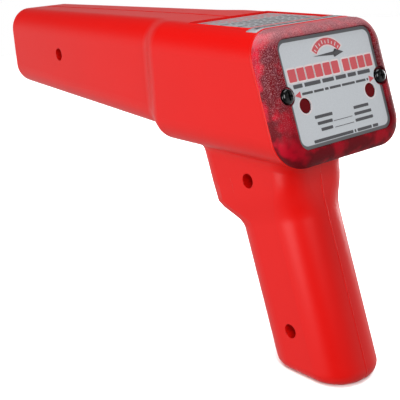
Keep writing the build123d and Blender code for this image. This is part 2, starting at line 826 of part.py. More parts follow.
for drop, word in ((upper_trigger_drop, "upper"), (lower_trigger_drop, "lower")):
    with BuildPart() as trigger:
        with Locations(at(flange_back, 0, drop)):
            Box(
                trigger_flange_thickness,
                trigger_width + 2 * trigger_flange_side,
                trigger_height + 2 * trigger_flange,
                align=(Align.MIN, Align.CENTER, Align.CENTER),
            )
        with Locations(at(window_face - 0.5, 0, drop)):
            Box(
                trigger_block_front + trigger_reach - window_face + 0.5,
                trigger_width,
                trigger_height,
                align=(Align.MIN, Align.CENTER, Align.CENTER),
            )
        nose = trigger.faces().sort_by(Axis(origin=(0, 0, 0), direction=(cosine, 0, -sine)))[-1]
        fillet(nose.edges(), radius=1.8)
        finger_depth = trigger_block_front + trigger_reach + finger_radius - finger_hollow
        with Locations(at(finger_depth, 0, drop) * sideways):
            Cylinder(finger_radius, trigger_width + 2, mode=Mode.SUBTRACT)
    finish(trigger, f"{word}_trigger")

    with BuildPart() as push_rod:
        with Locations(axis_at(rod_tip, drop)):
            Cylinder(
                rod_radius,
                flange_back - rod_tip,
                align=(Align.CENTER, Align.CENTER, Align.MIN),
            )
    finish(push_rod, f"{word}_push_rod")

    with BuildPart() as trigger_spring:
        with Locations(axis_at(bracket_depth + bracket_thickness + end_gap, drop)):
            add(coil(
                spring_radius,
                spring_wire,
                flange_back - bracket_depth - bracket_thickness - 2 * end_gap,
                spring_turns,
            ))
    finish(trigger_spring, f"{word}_trigger_spring")

    with BuildPart() as switch:
        with Locations(at(bracket_depth, 0, drop)):
            Box(
                switch_length,
                switch_width,
                switch_height,
                align=(Align.MAX, Align.CENTER, Align.CENTER),
            )
        chamfer(switch.edges().filter_by(Axis.Y), length=0.5)
        with Locations(axis_at(bracket_depth, drop)):
            Cylinder(
                rod_radius + rod_gap,
                switch_bore_depth,
                align=(Align.CENTER, Align.CENTER, Align.MAX),
                mode=Mode.SUBTRACT,
            )
    finish(switch, f"{word}_switch")

terminal_depth = bracket_depth - terminal_setback
with BuildPart() as switch_terminals:
    for drop in (upper_trigger_drop, lower_trigger_drop):
        for side in (-1, 1):
            outward = Align.MIN if side > 0 else Align.MAX
            with Locations(at(terminal_depth, side * switch_width / 2, drop)):
                Box(1.8, terminal_length, 0.5, align=(Align.CENTER, outward, Align.CENTER))
finish(switch_terminals, "switch_terminals")

with BuildPart() as switch_bracket:
    with Locations(at(bracket_depth, 0, (bracket_top + bracket_bottom) / 2)):
        Box(
            bracket_thickness,
            2 * bracket_half_width,
            bracket_height,
            align=(Align.MIN, Align.CENTER, Align.CENTER),
        )
    for drop in (upper_trigger_drop, lower_trigger_drop):
        with Locations(axis_at(bracket_depth, drop)):
            Cylinder(rod_radius + rod_gap, 10, mode=Mode.SUBTRACT)
finish(switch_bracket, "switch_bracket")

# Circuit board and what stands on it
board_top = board_level + board_thickness
with BuildPart() as circuit_board:
    with Locations(ahead(board_reach, 0, board_level)):
        Box(
            board_length,
            2 * board_half_width,
            board_thickness,
            align=(Align.MIN, Align.CENTER, Align.MIN),
        )
finish(circuit_board, "circuit_board")

transformer_place = ahead(board_reach + core_reach, 0, board_top)
core_leg = 2 * core_window_offset - core_window
with BuildPart() as transformer_core:
    with Locations(transformer_place):
        Box(core_length, core_width, core_height, align=(Align.CENTER, Align.CENTER, Align.MIN))
        with Locations((-core_window_offset, 0, core_height / 2), (core_window_offset, 0, core_height / 2)):
            Box(core_window, core_width + 2, core_window_height, mode=Mode.SUBTRACT)
finish(transformer_core, "transformer_core")

winding_foot = (core_height - core_window_height) / 2 + winding_gap
with BuildPart() as transformer_winding:
    with Locations(transformer_place * Location((0, 0, winding_foot))):
        Box(
            winding_length,
            winding_width,
            core_window_height - 2 * winding_gap,
            align=(Align.CENTER, Align.CENTER, Align.MIN),
        )
        fillet(transformer_winding.edges().filter_by(Axis.Z), radius=winding_round)
    with Locations(transformer_place):
        Box(
            core_leg + winding_gap,
            core_width + winding_gap,
            1.5 * core_height,
            align=(Align.CENTER, Align.CENTER, Align.MIN),
            mode=Mode.SUBTRACT,
        )
finish(transformer_winding, "transformer_winding")

capacitor_level = board_top + capacitor_radius + board_gap
with BuildPart() as storage_capacitor:
    with Locations(ahead(board_reach + capacitor_reach, capacitor_side, capacitor_level) * forward):
        Cylinder(capacitor_radius, capacitor_length, align=(Align.CENTER, Align.CENTER, Align.MIN))
        with Locations((0, 0, capacitor_groove)):
            Torus(capacitor_radius + 0.5, 1.0, mode=Mode.SUBTRACT)
finish(storage_capacitor, "storage_capacitor")

coil_level = board_top + coil_flange + board_gap
with BuildPart() as trigger_coil:
    with Locations(ahead(board_reach + coil_reach, coil_side, coil_level) * forward):
        Cylinder(coil_radius, coil_length, align=(Align.CENTER, Align.CENTER, Align.MIN))
        for start in (0, coil_length - coil_flange_thickness):
            with Locations((0, 0, start)):
                Cylinder(
                    coil_flange,
                    coil_flange_thickness,
                    align=(Align.CENTER, Align.CENTER, Align.MIN),
                )
finish(trigger_coil, "trigger_coil")

fin_reach = sink_length / 2 - sink_thickness / 2
fin_side = -sink_thickness - (sink_fin - sink_thickness) / 2 + sink_thickness / 2
with BuildPart() as heat_sink:
    with Locations(ahead(board_reach + sink_reach, sink_side, board_top)):
        Box(sink_length, sink_thickness, sink_height, align=(Align.CENTER, Align.CENTER, Align.MIN))
        with Locations((-fin_reach, fin_side, 0), (fin_reach, fin_side, 0)):
            Box(sink_thickness, sink_fin, sink_height, align=(Align.CENTER, Align.CENTER, Align.MIN))
finish(heat_sink, "heat_sink")

transistor_side = sink_side - sink_thickness / 2
with BuildPart() as power_transistor:
    with Locations(ahead(board_reach + sink_reach, transistor_side, board_top + transistor_rise)):
        for thickness, height in (
            (transistor_thickness, transistor_height),
            (transistor_tab, transistor_tab_height),
        ):
            Box(transistor_width, thickness, height, align=(Align.CENTER, Align.MAX, Align.MIN))
finish(power_transistor, "power_transistor")

# Optics
with BuildPart() as lens_bezel:
    with BuildSketch(optics.offset(bezel_back)):
        RectangleRounded(
            2 * (bead_half_width - bezel_bead),
            2 * (bead_half_height - bezel_bead),
            muzzle_corner - wall - bezel_gap,
        )
    extrude(amount=bezel_length)
    with BuildSketch(optics.offset(bezel_back)):
        RectangleRounded(2 * bead_half_width, 2 * bead_half_height, muzzle_corner - wall)
    extrude(amount=bezel_bead_length)
    with BuildSketch(optics.offset(bezel_back)):
        Circle(lens_radius + lens_gap)
    extrude(amount=bezel_length - bezel_lip, mode=Mode.SUBTRACT)
    with BuildSketch(optics.offset(bezel_back)):
        Circle(lens_window)
    extrude(amount=bezel_length, mode=Mode.SUBTRACT)
    front_edge = lens_bezel.edges().filter_by(GeomType.CIRCLE).sort_by(Axis.X)[-1]
    chamfer(front_edge, length=1.2)
finish(lens_bezel, "lens_bezel")

lens_front = bezel_back + bezel_length - bezel_lip
dome_edge = lens_window - 0.6
dome_sphere = (dome_edge**2 + lens_dome**2) / (2 * lens_dome)
half_swing = math.asin(dome_edge / dome_sphere) / 2
lamp_axis = Axis(origin=(0, 0, optics_height), direction=(1, 0, 0))
lamp_side = Plane(origin=(0, 0, optics_height), x_dir=(1, 0, 0), z_dir=(0, -1, 0))
with BuildPart() as lens:
    with BuildSketch(lamp_side):
        with BuildLine():
            face_x = muzzle_x + lens_front
            back_x = face_x - lens_edge
            dome_x = face_x + lens_dome
            dome_centre = dome_x - dome_sphere
            dome_middle = (
                dome_centre + dome_sphere * math.cos(half_swing),
                dome_sphere * math.sin(half_swing),
            )
            Polyline(
                (dome_x, 0),
                (back_x, 0),
                (back_x, lens_radius),
                (face_x, lens_radius),
                (face_x, dome_edge),
            )
            ThreePointArc((face_x, dome_edge), dome_middle, (dome_x, 0))
        make_face()
    revolve(axis=lamp_axis)
finish(lens, "lens")

with BuildPart() as lens_seal:
    with BuildSketch(optics.offset(lens_front - lens_edge)):
        Circle(lens_radius)
        Circle(lens_radius - 2, mode=Mode.SUBTRACT)
    extrude(amount=-seal_thickness)
finish(lens_seal, "lens_seal")

reflector_mouth = label_x + reflector_seat + 0.85
with BuildPart() as reflector:
    with BuildSketch(lamp_side):
        with BuildLine():
            rim_out = (reflector_mouth, reflector_rim - 2)
            rim_in = (reflector_mouth, reflector_rim - 2 - reflector_wall)
            deep = reflector_mouth - reflector_depth
            mid = reflector_mouth - reflector_depth * 0.62
            bowl_in = ThreePointArc(rim_in, (mid, reflector_rim * 0.66), (deep, reflector_neck))
            Line(bowl_in @ 1, (deep, reflector_neck + reflector_wall))
            bowl_out = ThreePointArc(
                (deep, reflector_neck + reflector_wall),
                (mid, reflector_rim * 0.66 + reflector_wall * 1.2),
                rim_out,
            )
            Line(bowl_out @ 1, rim_in)
        make_face()
        with Locations((reflector_mouth - 0.5, reflector_rim - 1.7)):
            Rectangle(1, 3.4)
    revolve(axis=lamp_axis)
finish(reflector, "reflector")

tube_start = holder_reach + holder_length - 5.0

with BuildPart() as flash_tube_holder:
    with Locations(lamp_place(holder_reach)):
        Cylinder(holder_radius, holder_length - 2.5, align=(Align.CENTER, Align.CENTER, Align.MIN))
        fillet(flash_tube_holder.faces().sort_by(Axis.X)[0].edges(), radius=1)
    with Locations(lamp_place(holder_reach + 4.2)):
        Cylinder(holder_radius + 2, 1.8, align=(Align.CENTER, Align.CENTER, Align.MIN))
    with Locations(lamp_place(tube_start - 0.1)):
        Cylinder(tube_radius + 0.1, 20, align=(Align.CENTER, Align.CENTER, Align.MIN), mode=Mode.SUBTRACT)
finish(flash_tube_holder, "flash_tube_holder")

cap_length = 3.0
with BuildPart() as flash_tube:
    with Locations(lamp_place(tube_start + cap_length)):
        Cylinder(tube_radius, tube_length - 2 * cap_length, align=(Align.CENTER, Align.CENTER, Align.MIN))
finish(flash_tube, "flash_tube")

with BuildPart() as tube_electrodes:
    for reach in (tube_start, tube_start + tube_length - cap_length):
        with Locations(lamp_place(reach)):
            Cylinder(tube_radius, cap_length, align=(Align.CENTER, Align.CENTER, Align.MIN))
finish(tube_electrodes, "tube_electrodes")

# Pickup socket in the grip's base
with BuildPart() as pickup_socket:
    Cylinder(socket_radius, socket_length, align=(Align.CENTER, Align.CENTER, Align.MIN))
    Cylinder(socket_flange, socket_flange_thickness, align=(Align.CENTER, Align.CENTER, Align.MIN))
    chamfer(pickup_socket.faces().sort_by(Axis.Z)[-1].edges(), length=0.6)
    Cylinder(
        socket_bore,
        socket_bore_depth,
        align=(Align.CENTER, Align.CENTER, Align.MIN),
        mode=Mode.SUBTRACT,
    )
finish(pickup_socket, "pickup_socket")

with BuildPart() as socket_nut:
    with BuildSketch(Plane.XY.offset(base_wall + collar_height)):
        RegularPolygon(nut_flats / 2, 6, major_radius=False)
        Circle(socket_radius + thread_gap, mode=Mode.SUBTRACT)
    extrude(amount=nut_thickness)
finish(socket_nut, "socket_nut")

contact_spread = 2.5
contact_setback = 3.2
contact_height = 5.0
with BuildPart() as socket_contacts:
    for side in (-contact_spread, contact_spread):
        with Locations((-contact_setback, side, socket_length)):
            Box(2.4, 0.8, contact_height, align=(Align.CENTER, Align.CENTER, Align.MIN))
finish(socket_contacts, "socket_contacts")


def lead(points, radii, thickness=lead_radius):
    """A wire: straight runs joined by tangent arcs."""
    with BuildPart(mode=Mode.PRIVATE) as wire:
        with BuildLine() as path:
            FilletPolyline(*points, radius=radii)
        along = path.wire()
        with BuildSketch(Plane(origin=along @ 0, z_dir=along % 0)) as section:
            Circle(thickness)
        sweep(section.sketch, path=along)
    return wire.part


def spot(place):
    """The position of a place."""
    return Vector(*place.position)


# The socket's two wires rise behind the grip's screw bosses and run forward through the tray's channel.
lead_gap = 0.02
lead_rise = -18.0
with BuildPart() as socket_lead:
    for side in (-contact_spread, contact_spread):
        add(lead(
            [
                (-contact_setback, side, socket_length + contact_height + 0.3),
                spot(at(34, side, base_along - 40)),
                spot(at(34, side, 24)),
                spot(ahead(46, side, lead_rise)),
                spot(ahead(86, side, lead_rise)),
                spot(ahead(board_reach + 5, side, board_level - 6)),
                spot(ahead(board_reach + 5, side, board_level - lead_gap)),
            ],
            [30, 40, 16, 40, 4],
        ))
finish(socket_lead, "socket_lead")

with BuildPart() as battery_lead:
    for side in (-11, 11):
        add(lead(
            [
                spot(ahead(tray_front + lead_gap, side, 1)),
                spot(ahead(board_reach + 2, side, 1)),
                spot(ahead(board_reach + 2, side, board_top + lead_gap)),
            ],
            5,
        ))
finish(battery_lead, "battery_lead")

flash_lead_foot = board_reach + board_length - 2.6
with BuildPart() as flash_lead:
    for side in (-3.5, 3.5):
        add(lead(
            [
                spot(ahead(flash_lead_foot, side, board_top + lead_gap)),
                spot(ahead(flash_lead_foot, side, optics_height - label_z)),
                spot(ahead(holder_reach - lead_gap, side, optics_height - label_z)),
            ],
            2.4,
        ))
finish(flash_lead, "flash_lead")

with BuildPart() as switch_lead:
    for side, drop in ((1, upper_trigger_drop), (-1, lower_trigger_drop)):
        terminal_end = switch_width / 2 + terminal_length + lead_gap
        add(lead(
            [
                spot(at(terminal_depth, side * terminal_end, drop)),
                spot(at(terminal_depth, side * (terminal_end + 4), drop)),
                spot(at(terminal_depth - 1, side * (terminal_end + 4), 10)),
                spot(at(terminal_depth - 2, side * 5, 1)),
                spot(ahead(76, side * 5, -13)),
                spot(ahead(board_reach + 9, side * 5, -17)),
                spot(ahead(board_reach + 9, side * 5, board_level - lead_gap)),
            ],
            [2.2, 2.2, 6, 20, 4],
            0.7,
        ))
finish(switch_lead, "switch_lead")
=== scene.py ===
import json
import math
import bmesh
import bpy
import numpy as np
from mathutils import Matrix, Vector
from mathutils.bvhtree import BVHTree


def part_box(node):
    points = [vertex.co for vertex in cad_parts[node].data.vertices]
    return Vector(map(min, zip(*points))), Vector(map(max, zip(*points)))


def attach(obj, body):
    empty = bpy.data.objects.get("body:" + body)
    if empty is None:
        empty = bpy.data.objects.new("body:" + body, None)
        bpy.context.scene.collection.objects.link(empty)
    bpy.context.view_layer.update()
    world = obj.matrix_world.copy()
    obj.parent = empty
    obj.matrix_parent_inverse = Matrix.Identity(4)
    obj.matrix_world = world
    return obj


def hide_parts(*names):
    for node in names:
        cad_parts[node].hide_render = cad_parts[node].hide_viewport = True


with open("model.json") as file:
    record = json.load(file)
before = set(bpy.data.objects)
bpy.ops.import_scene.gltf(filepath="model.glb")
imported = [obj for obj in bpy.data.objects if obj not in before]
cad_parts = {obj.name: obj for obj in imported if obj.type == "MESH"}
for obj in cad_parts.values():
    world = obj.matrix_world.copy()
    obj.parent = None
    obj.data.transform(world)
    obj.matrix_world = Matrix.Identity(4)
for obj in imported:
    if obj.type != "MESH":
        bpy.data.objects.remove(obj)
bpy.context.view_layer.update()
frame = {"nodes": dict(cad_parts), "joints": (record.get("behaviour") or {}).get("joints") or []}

nodes = frame["nodes"]
mm = 0.001
print("frame loaded:", len(nodes), "nodes")

# The label's frame: u runs right and v up its face, seen from behind, and out points back towards the user.
outDir = np.array(next(j["axis"] for j in frame["joints"] if j["name"] == "upper_trigger_slide"), float)
upDir = np.array([outDir[2], 0.0, -outDir[0]])
rightDir = np.array([0.0, -1.0, 0.0])
labelSheet = 0.35 * mm  # the thickness of the rear and top labels
lowLabel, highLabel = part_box("rear_label")
labelCentre = (np.array(lowLabel) + np.array(highLabel)) / 2 - outDir * labelSheet / 2


# Corner numbers of the quads of a grid of rows by columns, joined round where wrapped.
def gridFaces(rows, columns, wrapRows=False, wrapColumns=False):
    row = np.arange(rows if wrapRows else rows - 1)[:, None]
    column = np.arange(columns if wrapColumns else columns - 1)[None, :]
    nextRow, nextColumn = (row + 1) % rows, (column + 1) % columns
    corners = (row * columns + column, row * columns + nextColumn,
               nextRow * columns + nextColumn, nextRow * columns + column)
    return np.stack([np.broadcast_to(c, corners[0].shape) for c in corners], axis=-1).reshape(-1, 4)


# One surface as (points, faces), from a grid of points with shape rows x columns x 3.
def surface(grid, wrapRows=False, wrapColumns=False):
    rows, columns = grid.shape[:2]
    return grid.reshape(-1, 3), gridFaces(rows, columns, wrapRows, wrapColumns)


# An object made of several surfaces, with poles merged and faces turned outwards.
def addPiece(name, surfaces, material, body="housing", smooth=True):
    counts = np.cumsum([0] + [len(points) for points, faces in surfaces])
    points = np.concatenate([points for points, faces in surfaces])
    faces = np.concatenate([faces + start for (_, faces), start in zip(surfaces, counts)])
    mesh = bpy.data.meshes.new(name)
    mesh.from_pydata(points.tolist(), [], faces.tolist())
    work = bmesh.new()
    work.from_mesh(mesh)
    bmesh.ops.remove_doubles(work, verts=work.verts, dist=1e-7)
    bmesh.ops.recalc_face_normals(work, faces=work.faces)
    work.to_mesh(mesh)
    work.free()
    if smooth:
        mesh.shade_smooth()
    else:
        mesh.shade_flat()
    mesh.materials.append(material)
    piece = bpy.data.objects.new(name, mesh)
    bpy.context.scene.collection.objects.link(piece)
    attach(piece, body)
    return piece


# The outline of a rounded rectangle: four quarter turns about the corner centres, as points x 2.
def roundedOutline(width, height, radius, steps=8):
    turn = (np.arange(4)[:, None] * 90 + np.linspace(0, 90, steps)[None, :]) * math.pi / 180
    signX = np.array([1, -1, -1, 1])[:, None]
    signY = np.array([1, 1, -1, -1])[:, None]
    x = signX * (width / 2 - radius) + radius * np.cos(turn)
    y = signY * (height / 2 - radius) + radius * np.sin(turn)
    return np.stack([x.ravel(), y.ravel()], axis=-1)


# The outline of a circle, as points x 2.
def roundOutline(radius, steps=40):
    turn = np.linspace(0, 2 * math.pi, steps, endpoint=False)
    return radius * np.stack([np.cos(turn), np.sin(turn)], axis=-1)


# A flat print: rows run from the outline's middle to its rim on top, down its edge and back under it.
def printPatch(outline, centre, place, lift):
    flat = outline + np.array(centre)
    middle = np.broadcast_to(flat.mean(axis=0), flat.shape)
    rows = [place(middle, lift), place(flat, lift), place(flat, 0.0), place(middle, 0.0)]
    return surface(np.stack(rows), wrapColumns=True)


# A flat ring between two outlines with the same number of points, closed all round.
def printRing(outer, inner, centre, place, lift):
    shift = np.array(centre)
    rows = [place(outer + shift, 0.0), place(outer + shift, lift),
            place(inner + shift, lift), place(inner + shift, 0.0)]
    return surface(np.stack(rows), wrapRows=True, wrapColumns=True)


# A point (u, v) in millimetres on the rear label's face, raised off it.
def onLabel(flat, lift):
    height = labelSheet + lift * mm
    return labelCentre + flat[:, :1] * mm * rightDir + flat[:, 1:] * mm * upDir + height * outDir


# A bead along a route: an ellipse carried along it, flat to the surface, with its ends drawn to points.
def bead(route, outward, halfWidth, height, closed=False, steps=10):
    if closed:
        along = np.roll(route, -1, axis=0) - np.roll(route, 1, axis=0)
    else:
        along = np.gradient(route, axis=0)
    side = np.cross(along, outward)
    side /= np.linalg.norm(side, axis=1)[:, None]
    turn = np.linspace(0, 2 * math.pi, steps, endpoint=False)
    size = np.ones(len(route))
    if not closed:
        size[[0, -1]] = 0.0
    across = (side[:, None, :] * (halfWidth * np.cos(turn))[None, :, None]
              + outward[:, None, :] * (height * np.sin(turn))[None, :, None])
    grid = route[:, None, :] + across * size[:, None, None]
    return surface(grid, wrapRows=closed, wrapColumns=True)


# The housing's two halves as one surface to lay things on.
def housingSurface():
    points, faces = [], []
    for name in ("left_housing", "right_housing"):
        start = len(points)
        points += [tuple(v.co) for v in nodes[name].data.vertices]
        faces += [tuple(i + start for i in p.vertices) for p in nodes[name].data.polygons]
    return BVHTree.FromPolygons(points, faces)


housingTree = housingSurface()


# Where rays from the starts along one direction meet the housing, with the surface's directions there.
def layOn(starts, direction):
    found = [housingTree.ray_cast(Vector(s), Vector(d)) for s, d in zip(starts, direction)]
    kept = [hit for hit in found if hit[0] is not None]
    return np.array([hit[0] for hit in kept]), np.array([hit[1] for hit in kept])


# A shader node with its settings and socket values; an underscore in a socket's name stands for a space.
def addNode(tree, kind, settings=None, **values):
    node = tree.nodes.new("ShaderNode" + kind)
    for key, value in (settings or {}).items():
        setattr(node, key, value)
    for key, value in values.items():
        node.inputs[key.replace("_", " ")].default_value = value
    return node


# A material with its colour and socket values set, its node tree and its shader.
def startMaterial(name, color, **sockets):
    material = bpy.data.materials.new(name)
    material.use_nodes = True
    tree = material.node_tree
    shader = tree.nodes["Principled BSDF"]
    shader.inputs["Base Color"].default_value = (*color, 1)
    for key, value in sockets.items():
        shader.inputs[key.replace("_", " ")].default_value = value
    material.diffuse_color = (*color, 1)
    return material, tree, shader


# The place on the piece that a pattern is worked out from.
def objectPoint(tree):
    return addNode(tree, "TexCoord").outputs["Object"]


noiseSpan = (0.3, 0.7)  # most of a noise's values lie between these


# Noise on Object coordinates, with its grain size in millimetres.
def grain(tree, size, detail=2.0, roughness=0.5):
    noise = addNode(tree, "TexNoise", Scale=1 / (size * mm), Detail=detail, Roughness=roughness)
    tree.links.new(objectPoint(tree), noise.inputs["Vector"])
    return noise.outputs["Fac"]


# A value that runs between two ends as fac runs between two thresholds.
def ramp(tree, fac, fromLow, fromHigh, toLow, toHigh):
    node = addNode(tree, "MapRange", From_Min=fromLow, From_Max=fromHigh, To_Min=toLow, To_Max=toHigh)
    tree.links.new(fac, node.inputs["Value"])
    return node.outputs["Result"]


# A colour between two colours or colour sockets, as fac runs from 0 to 1.
def mixColors(tree, fac, first, second):
    mix = addNode(tree, "Mix", {"data_type": "RGBA"})
    for socket, value in ((mix.inputs[0], fac), (mix.inputs[6], first), (mix.inputs[7], second)):
        if isinstance(value, tuple):
            socket.default_value = (*value, 1)
        else:
            tree.links.new(value, socket)
    return mix.outputs[2]


# One arithmetic step on values or sockets.
def calculate(tree, operation, first, second=None):
    node = addNode(tree, "Math", {"operation": operation})
    for socket, value in zip(node.inputs, (first, second)):
        if value is None:
            continue
        if isinstance(value, (int, float)):
            socket.default_value = value
        else:
            tree.links.new(value, socket)
    return node.outputs[0]


# The distance from the rear label's centre along a direction, in millimetres.
def labelAxis(tree, direction):
    offset = addNode(tree, "VectorMath", {"operation": "SUBTRACT"})
    tree.links.new(objectPoint(tree), offset.inputs[0])
    offset.inputs[1].default_value = tuple(labelCentre)
    dot = addNode(tree, "VectorMath", {"operation": "DOT_PRODUCT"})
    tree.links.new(offset.outputs[0], dot.inputs[0])
    dot.inputs[1].default_value = tuple(np.array(direction) / mm)
    return dot.outputs["Value"]


# Adds a bump of the given height, in millimetres, from fac.
def addBump(tree, shader, fac, height):
    bump = addNode(tree, "Bump", Strength=1.0, Distance=height * mm)
    tree.links.new(fac, bump.inputs["Height"])
    tree.links.new(bump.outputs["Normal"], shader.inputs["Normal"])


commonLook = {"patch": 25.0, "shade": 0.85, "spread": 0.06, "sockets": {}}  # where a finish doesn't say


# Moulded or finished surface: slow change of colour, uneven roughness, and a fine grain.
def grainyMaterial(name, ownLook):
    look = commonLook | ownLook
    middle, spread = look["roughness"], look["spread"]
    material, tree, shader = startMaterial(name, look["color"], Roughness=middle, **look["sockets"])
    slow = ramp(tree, grain(tree, look["patch"]), *noiseSpan, 0.0, 1.0)
    darker = tuple(c * look["shade"] for c in look["color"])
    tree.links.new(mixColors(tree, slow, darker, look["color"]), shader.inputs["Base Color"])
    fine = grain(tree, look["grain"], detail=3.0)
    tree.links.new(ramp(tree, fine, 0.25, 0.75, middle - spread, middle + spread), shader.inputs["Roughness"])
    addBump(tree, shader, fine, look["depth"])
    return material


redShellLook = {"color": (0.90, 0.0050, 0.0028), "roughness": 0.38, "grain": 0.35, "depth": 0.012,
                "shade": 0.96, "patch": 60.0, "edge": 0.35, "sockets": {"Specular_IOR_Level": 0.32}}


# The red shell's crisp moulded edges are rounded by a bevelled normal under the grain.
def redShellMaterial(look):
    material = grainyMaterial("redShell", look)
    tree = material.node_tree
    bevel = addNode(tree, "Bevel", {"samples": 4}, Radius=look["edge"] * mm)
    bump = next(n for n in tree.nodes if n.bl_idname == "ShaderNodeBump")
    tree.links.new(bevel.outputs["Normal"], bump.inputs["Normal"])
    return material


# the bright crimson colour and its fade are a painted glow: light shining through the plastic, painted in
coverLook = {"deep": (0.16, 0.0005, 0.006), "wine": (0.42, 0.001, 0.013), "paintedGlow": (0.80, 0.004, 0.034),
             # the pale pink colour is a painted sheen on the top and painted glints over the upper part, laid
             # by the speckle noise
             "paintedSheen": (0.88, 0.38, 0.42), "smoke": (0.14, 0.012, 0.025), "patch": 9.0, "smokePatch": 3.6,
             "speckle": 0.45, "roughness": 0.50, "gloss": 0.12, "grainDepth": 0.06,
             "patchSpan": (0.44, 0.60), "smokeSpan": (0.42, 0.60), "glintSpan": (0.50, 0.66),
             "topSheenSpan": (0.35, 0.65), "glintShare": (0.0, 0.45), "topSheenShare": (0.20, 0.70),
             # fades in millimetres up the label or forward of it, two of them with the shares at their ends
             "seamFade": (0.5, 4.5), "upperFade": (-20.0, 8.0), "topFade": (21.0, 26.0),
             "paintedGlowFade": (-26.0, -14.0, 0.1, 0.9), "smokeFade": (1.0, 6.0, 0.75, 0.2)}


# Smoked red cover: wine red, with a painted glow of light through the plastic in patches by the seam, smoky
# by the label, with a painted sheen on the top and painted glints over its upper part.
def coverMaterial(look):
    material, tree, shader = startMaterial("smokedRedCover", look["wine"], Roughness=look["roughness"],
                                           Specular_IOR_Level=look["gloss"])
    forward = labelAxis(tree, -outDir)
    up = labelAxis(tree, upDir)
    patches = ramp(tree, grain(tree, look["patch"], 2.0, 0.5), *look["patchSpan"], 0.0, 1.0)
    smoke = ramp(tree, grain(tree, look["smokePatch"], 3.0, 0.6), *look["smokeSpan"], 0.0, 1.0)
    nearSeam = ramp(tree, forward, *look["seamFade"], 0.0, 1.0)
    upper = ramp(tree, up, *look["upperFade"], 0.0, 1.0)
    top = ramp(tree, up, *look["topFade"], 0.0, 1.0)
    inner = mixColors(tree, patches, look["deep"], look["wine"])
    seamPatches = calculate(tree, "MULTIPLY", patches, nearSeam)
    # painted glow of light through the plastic, in patches by the seam and fading towards the bottom
    paintedGlowShare = calculate(tree, "MULTIPLY", seamPatches, ramp(tree, up, *look["paintedGlowFade"]))
    lit = mixColors(tree, paintedGlowShare, inner, look["paintedGlow"])
    upperSmoke = calculate(tree, "MULTIPLY", smoke, upper)
    smoky = calculate(tree, "MULTIPLY", upperSmoke, ramp(tree, forward, *look["smokeFade"]))
    dimmed = mixColors(tree, smoky, lit, look["smoke"])
    speckle = grain(tree, look["speckle"], 2.0, 0.7)
    paintedGlints = ramp(tree, speckle, *look["glintSpan"], *look["glintShare"])
    # painted sheen on the top and painted glints over the upper part, mixed in as a pale pink
    paintedTopSheen = calculate(tree, "MULTIPLY", top, ramp(tree, speckle, *look["topSheenSpan"], *look["topSheenShare"]))
    paintedSheenShare = calculate(tree, "MAXIMUM", paintedTopSheen, calculate(tree, "MULTIPLY", paintedGlints, upper))
    tree.links.new(mixColors(tree, paintedSheenShare, dimmed, look["paintedSheen"]), shader.inputs["Base Color"])
    rough = ramp(tree, speckle, *noiseSpan, look["roughness"] - 0.1, look["roughness"] + 0.12)
    tree.links.new(rough, shader.inputs["Roughness"])
    addBump(tree, shader, speckle, look["grainDepth"])
    return material


labelLook = {"face": (0.70, 0.735, 0.775), "border": (0.14, 0.145, 0.155), "width": 59.0, "height": 47.0,
             "corner": 5.0, "line": 1.5, "fade": 0.08, "fleck": 0.5, "fleckShade": 0.94, "grain": 0.25,
             "depth": 0.004, "roughness": 0.38}


# Printed film: a dark border where the distance inside the rounded outline is less than the line.
def rearLabelMaterial(look):
    material, tree, shader = startMaterial("rearLabelFilm", look["face"], Roughness=look["roughness"],
                                           Coat_Weight=0.15, Coat_Roughness=0.3)
    over = []
    for direction, size in ((rightDir, look["width"]), (upDir, look["height"])):
        away = calculate(tree, "ABSOLUTE", labelAxis(tree, direction))
        over.append(calculate(tree, "SUBTRACT", away, size / 2 - look["corner"]))
    squares = [calculate(tree, "POWER", calculate(tree, "MAXIMUM", side, 0.0), 2.0) for side in over]
    outside = calculate(tree, "SQRT", calculate(tree, "ADD", *squares))
    inside = calculate(tree, "MINIMUM", calculate(tree, "MAXIMUM", *over), 0.0)
    distance = calculate(tree, "SUBTRACT", calculate(tree, "ADD", outside, inside), look["corner"])
    border = ramp(tree, distance, -look["line"] - look["fade"], -look["line"] + look["fade"], 0.0, 1.0)
    fleck = ramp(tree, grain(tree, look["fleck"], 3.0), 0.35, 0.65, 0.0, 1.0)
    face = mixColors(tree, fleck, tuple(c * look["fleckShade"] for c in look["face"]), look["face"])
    tree.links.new(mixColors(tree, border, face, look["border"]), shader.inputs["Base Color"])
    addBump(tree, shader, grain(tree, look["grain"]), look["depth"])
    return material


